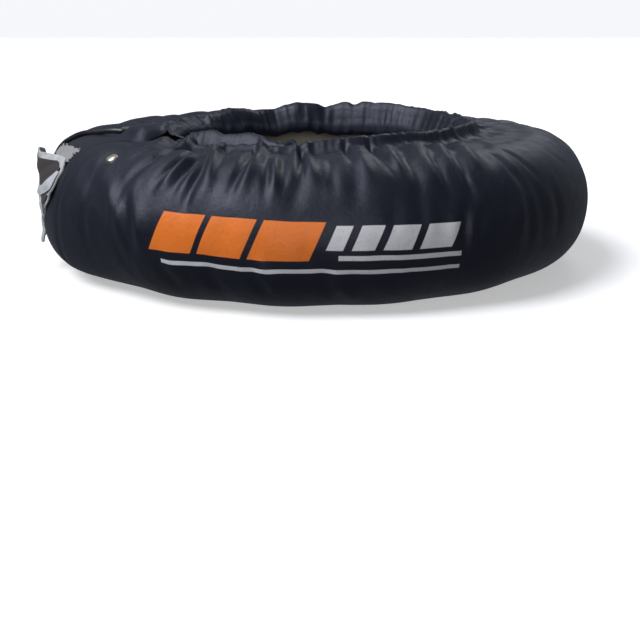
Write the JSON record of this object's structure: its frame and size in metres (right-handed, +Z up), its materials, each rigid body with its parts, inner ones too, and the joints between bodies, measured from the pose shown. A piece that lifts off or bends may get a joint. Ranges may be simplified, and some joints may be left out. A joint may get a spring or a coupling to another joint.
{
  "type": "motorcycle tyre warmer",
  "caption": "Padded, electrically heated fabric ring that wraps a motorcycle tyre: gathered elastic side skirts, touch-tape closure, and a mains lead with its plug",
  "frame": {"origin": "on the ring's axis, on the surface that the ring lies on", "axes": "+Z up along the ring axis, -X at the closure, -Y at the side the picture shows"},
  "size_m": [0.6431, 0.7549, 0.1637],
  "materials": {
    "navy_nylon": "coated nylon twill, satin sheen",
    "silver_tape": "light grey brushed loop tape",
    "dark_tape": "near-black hook tape",
    "binding": "woven black binding",
    "lining": "olive heat-resistant lining cloth",
    "felt": "needled insulating felt",
    "carrier": "glass cloth",
    "elastic": "covered elastic cord",
    "heater": "silicone-covered heating wire",
    "brown_wire": "insulated wire",
    "blue_wire": "insulated wire",
    "crimp": "crimped metal",
    "rivet": "nickel plate, slightly worn",
    "cutout": "moulded case",
    "cable": "smooth black sheath",
    "boot": "moulded black rubber",
    "plug_black": "moulded black plastic",
    "brass_pin": "plain brass",
    "fuse_ceramic": "glazed ceramic tube"
  },
  "bodies": {
    "root": {"tread_panel": "navy_nylon", "upper_side_skirt": "navy_nylon", "lower_side_skirt": "navy_nylon", "upper_hem_elastic": "elastic", "lower_hem_elastic": "elastic", "upper_seam_tape": "binding", "lower_seam_tape": "binding", "insulation_felt": "felt", "heater_carrier": "carrier", "inner_lining": "lining", "heating_wire": "heater", "thermostat": "cutout", "thermal_fuse": "crimp", "supply_wire_live": "brown_wire", "splice_live": "crimp", "supply_wire_neutral": "blue_wire", "splice_neutral": "crimp", "closure_panel": "silver_tape", "loop_tape": "silver_tape", "hook_tape": "dark_tape", "loop_tape_foot": "silver_tape", "shoulder_tab": "silver_tape", "eyelet_front": "rivet", "eyelet_washer": "rivet", "mains_lead": "cable", "lead_coil": "cable", "coil_tie": "binding", "lead_tail": "cable", "plug_body": "plug_black", "plug_pin_live": "brass_pin", "plug_pin_neutral": "brass_pin", "plug_pin_earth": "brass_pin", "plug_fuse": "fuse_ceramic", "plug_fuse_cover": "plug_black", "strain_relief": "boot"}
  },
  "joints": []
}
